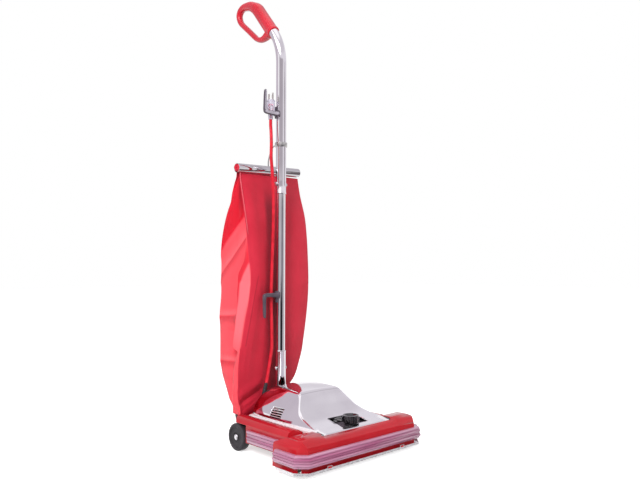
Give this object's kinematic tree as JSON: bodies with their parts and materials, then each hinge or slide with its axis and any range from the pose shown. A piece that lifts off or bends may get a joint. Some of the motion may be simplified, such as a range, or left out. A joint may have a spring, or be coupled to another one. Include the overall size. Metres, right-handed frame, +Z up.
{
  "type": "upright vacuum cleaner",
  "caption": "Upright vacuum cleaner with a wide brush nozzle, plated hood, reclining tubular handle, loop grip, cord hooks and a cloth bag.",
  "frame": {"origin": "on the floor at the middle of the machine's width and depth", "axes": "+Z up along the handle, +Y to the rear, +X to the right as seen from the front looking back"},
  "size_m": [0.428, 0.5356, 1.2495],
  "materials": {
    "red_casting": "gloss enamel",
    "chrome_hood": "polished plating",
    "chrome_tube": "polished plating",
    "plate_steel": "bright zinc",
    "pin_steel": "bright",
    "guard_vinyl": "soft translucent",
    "black_plastic": "fine texture",
    "grey_plastic": "satin",
    "white_plastic": "satin",
    "wheel_rubber": "matte",
    "wood_roll": "varnished",
    "bristle": "fibre",
    "belt_rubber": "matte",
    "fan_metal": "cast",
    "motor_steel": "laminated",
    "motor_casting": "cast",
    "copper": "wound wire",
    "holder_brass": "stamped",
    "carbon": "pressed carbon",
    "red_plastic": "moulded gloss",
    "bag_cloth": "woven cloth",
    "cord_red": "extruded jacket",
    "clear_plug": "clear moulded"
  },
  "bodies": {
    "base": {"base_housing": "red_casting", "hood": "chrome_hood", "dial_plate": "grey_plastic", "bottom_plate": "plate_steel", "front_guard": "guard_vinyl", "side_guard_left": "guard_vinyl", "side_guard_right": "guard_vinyl", "rear_axles": "pin_steel", "axle_caps": "pin_steel", "brush_shaft": "pin_steel", "brush_end_caps": "black_plastic", "drive_belt": "belt_rubber", "fan_cover": "motor_casting", "field_core": "motor_steel", "field_coils": "copper", "motor_case": "motor_casting", "end_bell": "motor_casting", "bearings": "pin_steel", "brush_holders": "holder_brass", "carbon_brushes": "carbon", "exhaust_elbow": "black_plastic", "pivot_pin": "pin_steel", "strain_relief": "black_plastic", "bag_neck": "bag_cloth", "pedal_pin": "pin_steel", "pedal_spring": "pin_steel"},
    "handle": {"handle_yoke": "pin_steel", "socket_tube": "chrome_tube", "middle_tube": "chrome_tube", "upper_tube": "chrome_tube", "tube_bolts": "pin_steel", "grip": "red_plastic", "upper_hook": "grey_plastic", "lower_hook": "grey_plastic", "bag_bar": "chrome_tube", "bag_hanger": "pin_steel", "bag": "bag_cloth", "cord": "cord_red", "plug_body": "clear_plug", "plug_blades": "holder_brass"},
    "height_dial": {"height_knob": "black_plastic", "height_cam": "white_plastic"},
    "carriage": {"front_carriage": "plate_steel", "carriage_pins": "pin_steel"},
    "wheel_front_left": {"front_wheel_left": "grey_plastic"},
    "wheel_front_right": {"front_wheel_right": "grey_plastic"},
    "wheel_rear_left": {"rear_wheel_left": "wheel_rubber"},
    "wheel_rear_right": {"rear_wheel_right": "wheel_rubber"},
    "brush": {"brush_roll": "wood_roll", "brush_strips": "bristle"},
    "rotor": {"rotor_shaft": "pin_steel", "motor_pulley": "pin_steel", "fan": "fan_metal", "armature": "motor_steel", "commutator": "copper"},
    "latch_left": {"plate_latch_left": "pin_steel"},
    "latch_right": {"plate_latch_right": "pin_steel"},
    "pedal": {"foot_pedal": "black_plastic"}
  },
  "joints": [
    {"name": "handle_recline", "type": "hinge", "parent": "base", "child": "handle", "pos_m": [0, 0.06461, 0.098], "axis": [-1, 0, 0], "range_deg": [0, 60], "deforming": ["bag_neck", "cord"]},
    {"name": "height_dial_turn", "type": "hinge", "parent": "base", "child": "height_dial", "pos_m": [0.012, -0.19289, 0.09], "axis": [0, 0, 1], "range_deg": [0, 180]},
    {"name": "carriage_lift", "type": "hinge", "parent": "base", "child": "carriage", "pos_m": [0, -0.09389, 0.022], "axis": [-1, 0, 0], "range_deg": [0, 2.77]},
    {"name": "front_wheel_left_roll", "type": "hinge", "parent": "carriage", "child": "wheel_front_left", "pos_m": [-0.088, -0.15589, 0.014], "axis": [1, 0, 0], "continuous": true},
    {"name": "front_wheel_right_roll", "type": "hinge", "parent": "carriage", "child": "wheel_front_right", "pos_m": [0.088, -0.15589, 0.014], "axis": [1, 0, 0], "continuous": true},
    {"name": "rear_wheel_left_roll", "type": "hinge", "parent": "base", "child": "wheel_rear_left", "pos_m": [-0.157, 0.03461, 0.034], "axis": [1, 0, 0], "continuous": true},
    {"name": "rear_wheel_right_roll", "type": "hinge", "parent": "base", "child": "wheel_rear_right", "pos_m": [0.157, 0.03461, 0.034], "axis": [1, 0, 0], "continuous": true},
    {"name": "brush_spin", "type": "hinge", "parent": "base", "child": "brush", "pos_m": [0, -0.21389, 0.031], "axis": [1, 0, 0], "continuous": true},
    {"name": "rotor_spin", "type": "hinge", "parent": "base", "child": "rotor", "pos_m": [0, -0.05889, 0.1], "axis": [0, 0, 1], "continuous": true},
    {"name": "plate_latch_left_turn", "type": "hinge", "parent": "base", "child": "latch_left", "pos_m": [-0.04, -0.01189, 0.0104], "axis": [0, 0, 1], "range_deg": [0, 90]},
    {"name": "plate_latch_right_turn", "type": "hinge", "parent": "base", "child": "latch_right", "pos_m": [0.04, -0.01189, 0.0104], "axis": [0, 0, -1], "range_deg": [0, 90]},
    {"name": "release_pedal_press", "type": "hinge", "parent": "base", "child": "pedal", "pos_m": [0.086, 0.05411, 0.08], "axis": [-1, 0, 0], "range_deg": [0, 8], "stiffness_Nm_per_rad": 0.8, "springref_deg": -8.59, "deforming": ["pedal_spring"]}
  ],
  "couplings": [
    {"joint": "carriage_lift", "follows": "height_dial_turn", "ratio": 0.01539},
    {"joint": "rotor_spin", "follows": "brush_spin", "ratio": -1.964}
  ]
}
